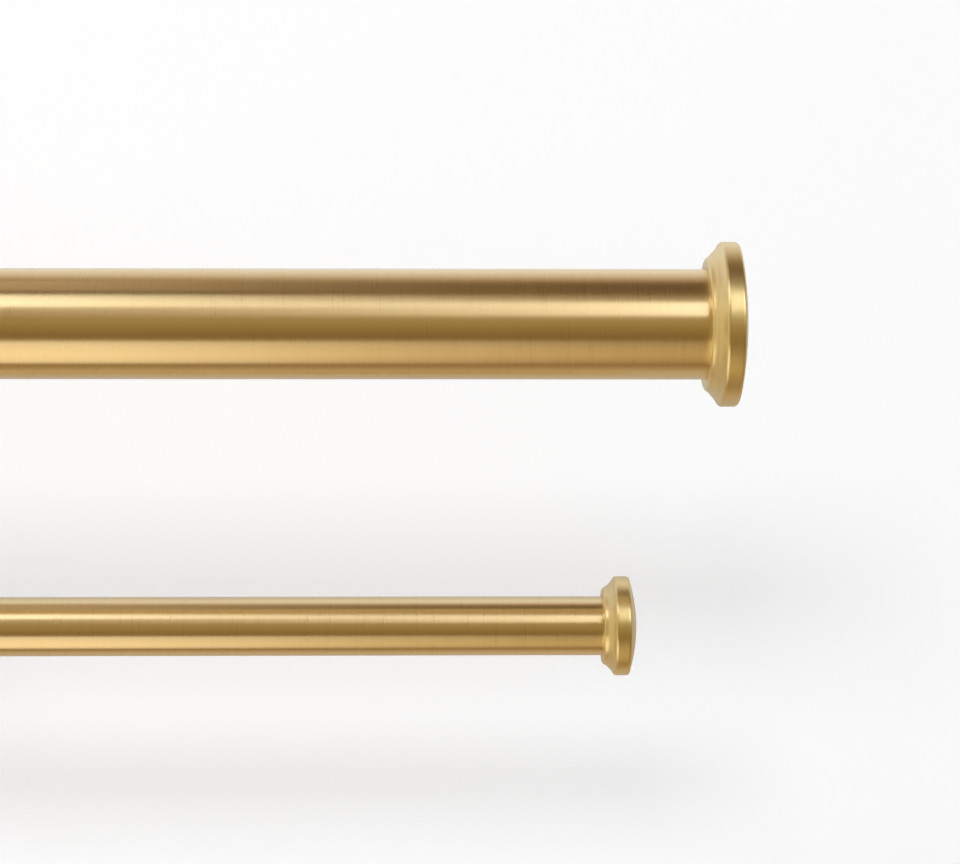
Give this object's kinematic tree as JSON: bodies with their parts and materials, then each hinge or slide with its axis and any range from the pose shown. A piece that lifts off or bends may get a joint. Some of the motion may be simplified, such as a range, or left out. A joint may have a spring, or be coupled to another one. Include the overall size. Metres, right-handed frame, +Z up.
{
  "type": "double curtain rod with brackets",
  "caption": "Double curtain rod: thick front and thin rear telescoping brass rods with flanged end caps, held in open cradles on stepped wall brackets.",
  "frame": {"origin": "centre of the rectangle of wall-screw holes, on the wall plane", "axes": "+X along the rods towards the outer tubes' capped end, -Y from the wall into the room, +Z up"},
  "size_m": [1, 0.1589, 0.142],
  "materials": {
    "brushed_brass_tube": "satin",
    "turned_brass": "satin",
    "zinc_plated_steel": "satin",
    "black_steel": "satin",
    "natural_nylon": "satin",
    "grey_felt_pad": "matte",
    "red_fibre": "matte"
  },
  "bodies": {
    "brackets": {"left_wall_plate": "zinc_plated_steel", "left_cover_plate": "turned_brass", "left_front_arm": "turned_brass", "left_front_collar": "turned_brass", "left_front_cradle": "turned_brass", "left_front_cradle_pad": "grey_felt_pad", "left_rear_arm": "turned_brass", "left_rear_collar": "turned_brass", "left_rear_cradle": "turned_brass", "left_rear_cradle_pad": "grey_felt_pad", "right_wall_plate": "zinc_plated_steel", "right_cover_plate": "turned_brass", "right_front_arm": "turned_brass", "right_front_collar": "turned_brass", "right_front_cradle": "turned_brass", "right_front_cradle_pad": "grey_felt_pad", "right_rear_arm": "turned_brass", "right_rear_collar": "turned_brass", "right_rear_cradle": "turned_brass", "right_rear_cradle_pad": "grey_felt_pad", "arm_nuts": "zinc_plated_steel", "cradle_screws": "zinc_plated_steel", "cover_grub_screws": "black_steel"},
    "front_outer_rod": {"front_outer_tube": "brushed_brass_tube", "front_mouth_bush": "natural_nylon", "front_right_plug": "zinc_plated_steel"},
    "front_inner_rod": {"front_inner_tube": "brushed_brass_tube", "front_glide_ring": "natural_nylon", "front_left_plug": "zinc_plated_steel"},
    "front_left_washer_stack": {"front_left_cap_washer": "red_fibre"},
    "front_left_cap_unit": {"front_left_cap": "turned_brass", "front_left_cap_stud": "zinc_plated_steel", "front_left_cap_ring": "natural_nylon"},
    "front_right_washer_stack": {"front_right_cap_washer": "red_fibre"},
    "front_right_cap_unit": {"front_right_cap": "turned_brass", "front_right_cap_stud": "zinc_plated_steel"},
    "left_front_tip_slide": {"left_front_screw_tip": "natural_nylon"},
    "left_front_thumb": {"left_front_thumb_screw": "turned_brass"},
    "right_front_tip_slide": {"right_front_screw_tip": "natural_nylon"},
    "right_front_thumb": {"right_front_thumb_screw": "turned_brass"},
    "rear_outer_rod": {"rear_outer_tube": "brushed_brass_tube", "rear_mouth_bush": "natural_nylon", "rear_right_plug": "zinc_plated_steel"},
    "rear_inner_rod": {"rear_inner_tube": "brushed_brass_tube", "rear_glide_ring": "natural_nylon", "rear_left_plug": "zinc_plated_steel"},
    "rear_left_washer_stack": {"rear_left_cap_washer": "red_fibre"},
    "rear_left_cap_unit": {"rear_left_cap": "turned_brass", "rear_left_cap_stud": "zinc_plated_steel", "rear_left_cap_ring": "natural_nylon"},
    "rear_right_washer_stack": {"rear_right_cap_washer": "red_fibre"},
    "rear_right_cap_unit": {"rear_right_cap": "turned_brass", "rear_right_cap_stud": "zinc_plated_steel"},
    "left_rear_tip_slide": {"left_rear_screw_tip": "natural_nylon"},
    "left_rear_thumb": {"left_rear_thumb_screw": "turned_brass"},
    "right_rear_tip_slide": {"right_rear_screw_tip": "natural_nylon"},
    "right_rear_thumb": {"right_rear_thumb_screw": "turned_brass"}
  },
  "joints": [
    {"name": "front_rod_lift", "type": "slide", "parent": "brackets", "child": "front_outer_rod", "axis": [0, 0, 1], "range_m": [0, 0.06]},
    {"name": "front_rod_extend", "type": "slide", "parent": "front_outer_rod", "child": "front_inner_rod", "axis": [-1, 0, 0], "range_m": [-0.23, 0.219]},
    {"name": "front_left_cap_travel", "type": "slide", "parent": "front_inner_rod", "child": "front_left_washer_stack", "axis": [-1, 0, 0], "range_m": [0, 0.01]},
    {"name": "front_left_cap_turn", "type": "hinge", "parent": "front_left_washer_stack", "child": "front_left_cap_unit", "pos_m": [-0.495, -0.138, 0.04], "axis": [-1, 0, 0], "range_deg": [0, 3600]},
    {"name": "front_right_cap_travel", "type": "slide", "parent": "front_outer_rod", "child": "front_right_washer_stack", "axis": [1, 0, 0], "range_m": [0, 0.01]},
    {"name": "front_right_cap_turn", "type": "hinge", "parent": "front_right_washer_stack", "child": "front_right_cap_unit", "pos_m": [0.495, -0.138, 0.04], "axis": [1, 0, 0], "range_deg": [0, 3600]},
    {"name": "left_front_thumb_travel", "type": "slide", "parent": "brackets", "child": "left_front_tip_slide", "axis": [0, 0, -1], "range_m": [0, 0.005]},
    {"name": "left_front_thumb_turn", "type": "hinge", "parent": "left_front_tip_slide", "child": "left_front_thumb", "pos_m": [-0.235, -0.138, 0.014], "axis": [0, 0, -1], "range_deg": [0, 1800]},
    {"name": "right_front_thumb_travel", "type": "slide", "parent": "brackets", "child": "right_front_tip_slide", "axis": [0, 0, -1], "range_m": [0, 0.005]},
    {"name": "right_front_thumb_turn", "type": "hinge", "parent": "right_front_tip_slide", "child": "right_front_thumb", "pos_m": [0.235, -0.138, 0.014], "axis": [0, 0, -1], "range_deg": [0, 1800]},
    {"name": "rear_rod_lift", "type": "slide", "parent": "brackets", "child": "rear_outer_rod", "axis": [0, 0, 1], "range_m": [0, 0.045]},
    {"name": "rear_rod_extend", "type": "slide", "parent": "rear_outer_rod", "child": "rear_inner_rod", "axis": [-1, 0, 0], "range_m": [-0.206, 0.219]},
    {"name": "rear_left_cap_travel", "type": "slide", "parent": "rear_inner_rod", "child": "rear_left_washer_stack", "axis": [-1, 0, 0], "range_m": [0, 0.007]},
    {"name": "rear_left_cap_turn", "type": "hinge", "parent": "rear_left_washer_stack", "child": "rear_left_cap_unit", "pos_m": [-0.471, -0.0935, -0.04], "axis": [-1, 0, 0], "range_deg": [0, 3600]},
    {"name": "rear_right_cap_travel", "type": "slide", "parent": "rear_outer_rod", "child": "rear_right_washer_stack", "axis": [1, 0, 0], "range_m": [0, 0.007]},
    {"name": "rear_right_cap_turn", "type": "hinge", "parent": "rear_right_washer_stack", "child": "rear_right_cap_unit", "pos_m": [0.471, -0.0935, -0.04], "axis": [1, 0, 0], "range_deg": [0, 3600]},
    {"name": "left_rear_thumb_travel", "type": "slide", "parent": "brackets", "child": "left_rear_tip_slide", "axis": [0, 0, -1], "range_m": [0, 0.005]},
    {"name": "left_rear_thumb_turn", "type": "hinge", "parent": "left_rear_tip_slide", "child": "left_rear_thumb", "pos_m": [-0.235, -0.0935, -0.06], "axis": [0, 0, -1], "range_deg": [0, 2250]},
    {"name": "right_rear_thumb_travel", "type": "slide", "parent": "brackets", "child": "right_rear_tip_slide", "axis": [0, 0, -1], "range_m": [0, 0.005]},
    {"name": "right_rear_thumb_turn", "type": "hinge", "parent": "right_rear_tip_slide", "child": "right_rear_thumb", "pos_m": [0.235, -0.0935, -0.06], "axis": [0, 0, -1], "range_deg": [0, 2250]}
  ],
  "couplings": [
    {"joint": "front_left_cap_turn", "follows": "front_left_cap_travel", "rad_per_m": 6283.2},
    {"joint": "front_right_cap_turn", "follows": "front_right_cap_travel", "rad_per_m": 6283.2},
    {"joint": "left_front_thumb_turn", "follows": "left_front_thumb_travel", "rad_per_m": 6283.2},
    {"joint": "right_front_thumb_turn", "follows": "right_front_thumb_travel", "rad_per_m": 6283.2},
    {"joint": "rear_left_cap_turn", "follows": "rear_left_cap_travel", "rad_per_m": 8976},
    {"joint": "rear_right_cap_turn", "follows": "rear_right_cap_travel", "rad_per_m": 8976},
    {"joint": "left_rear_thumb_turn", "follows": "left_rear_thumb_travel", "rad_per_m": 7854},
    {"joint": "right_rear_thumb_turn", "follows": "right_rear_thumb_travel", "rad_per_m": 7854}
  ]
}
